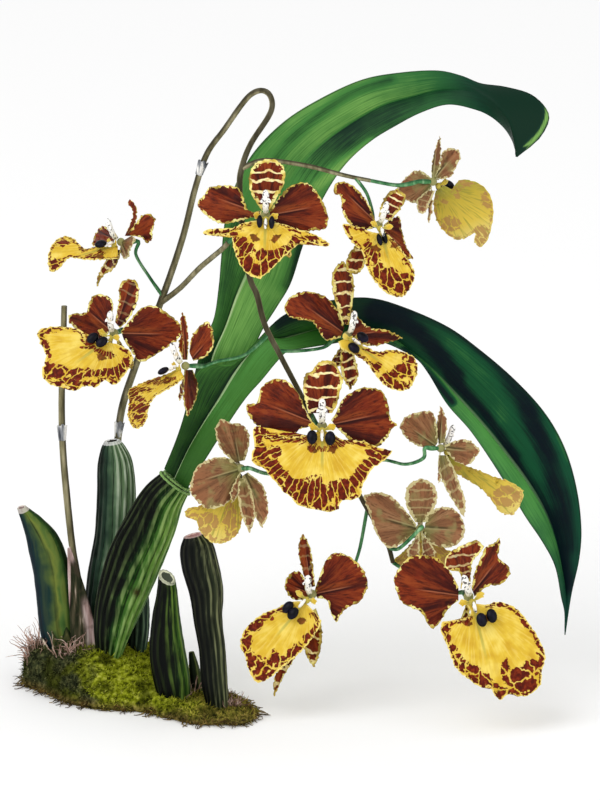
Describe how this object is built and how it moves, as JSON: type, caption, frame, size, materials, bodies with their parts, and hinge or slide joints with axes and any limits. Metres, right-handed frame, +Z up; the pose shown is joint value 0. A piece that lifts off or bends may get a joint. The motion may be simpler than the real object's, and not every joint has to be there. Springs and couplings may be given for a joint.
{
  "type": "oncidium orchid",
  "caption": "Oncidium orchid on its moss clump: ribbed pseudobulbs, two strap leaves and an arching branched spray of brown and yellow flowers.",
  "frame": {"origin": "middle of the moss clump's flat underside", "axes": "+Z up, +X to the right of the pictured plant, +Y away from the viewer"},
  "size_m": [0.2261, 0.0964, 0.2574],
  "materials": {
    "moss": "matte, fibrous moss and rootlets",
    "bulb": "satin, ribbed green skin",
    "leaf": "satin, waxy leaf",
    "sheath": "matte, papery dry skin",
    "stem": "satin, olive brown stem",
    "petal": "soft satin, chestnut brown with a yellow margin",
    "lip": "soft satin, golden yellow with brown blotches",
    "column": "waxy white, with a blue black callus"
  },
  "bodies": {
    "root": {"moss_clump": "moss", "pseudobulb_leafy": "bulb", "pseudobulb_back": "bulb", "pseudobulb_young": "bulb", "pseudobulb_small": "bulb", "pseudobulb_cut": "bulb", "pseudobulb_front": "bulb", "pseudobulb_shoot": "bulb", "papery_sheath": "sheath", "leaf_upper": "leaf", "leaf_lower": "leaf", "old_flower_stalk": "stem", "flower_stem": "stem", "flower_01_petals": "petal", "flower_01_lip": "lip", "flower_01_column": "column", "flower_02_petals": "petal", "flower_02_lip": "lip", "flower_02_column": "column", "flower_03_petals": "petal", "flower_03_lip": "lip", "flower_03_column": "column", "flower_04_petals": "petal", "flower_04_lip": "lip", "flower_04_column": "column", "flower_05_petals": "petal", "flower_05_lip": "lip", "flower_05_column": "column", "flower_06_petals": "petal", "flower_06_lip": "lip", "flower_06_column": "column", "flower_07_petals": "petal", "flower_07_lip": "lip", "flower_07_column": "column", "flower_08_petals": "petal", "flower_08_lip": "lip", "flower_08_column": "column", "flower_09_petals": "petal", "flower_09_lip": "lip", "flower_09_column": "column", "flower_10_petals": "petal", "flower_10_lip": "lip", "flower_10_column": "column", "flower_11_petals": "petal", "flower_11_lip": "lip", "flower_11_column": "column", "flower_12_petals": "petal", "flower_12_lip": "lip", "flower_12_column": "column", "flower_13_petals": "petal", "flower_13_lip": "lip", "flower_13_column": "column"}
  },
  "joints": []
}
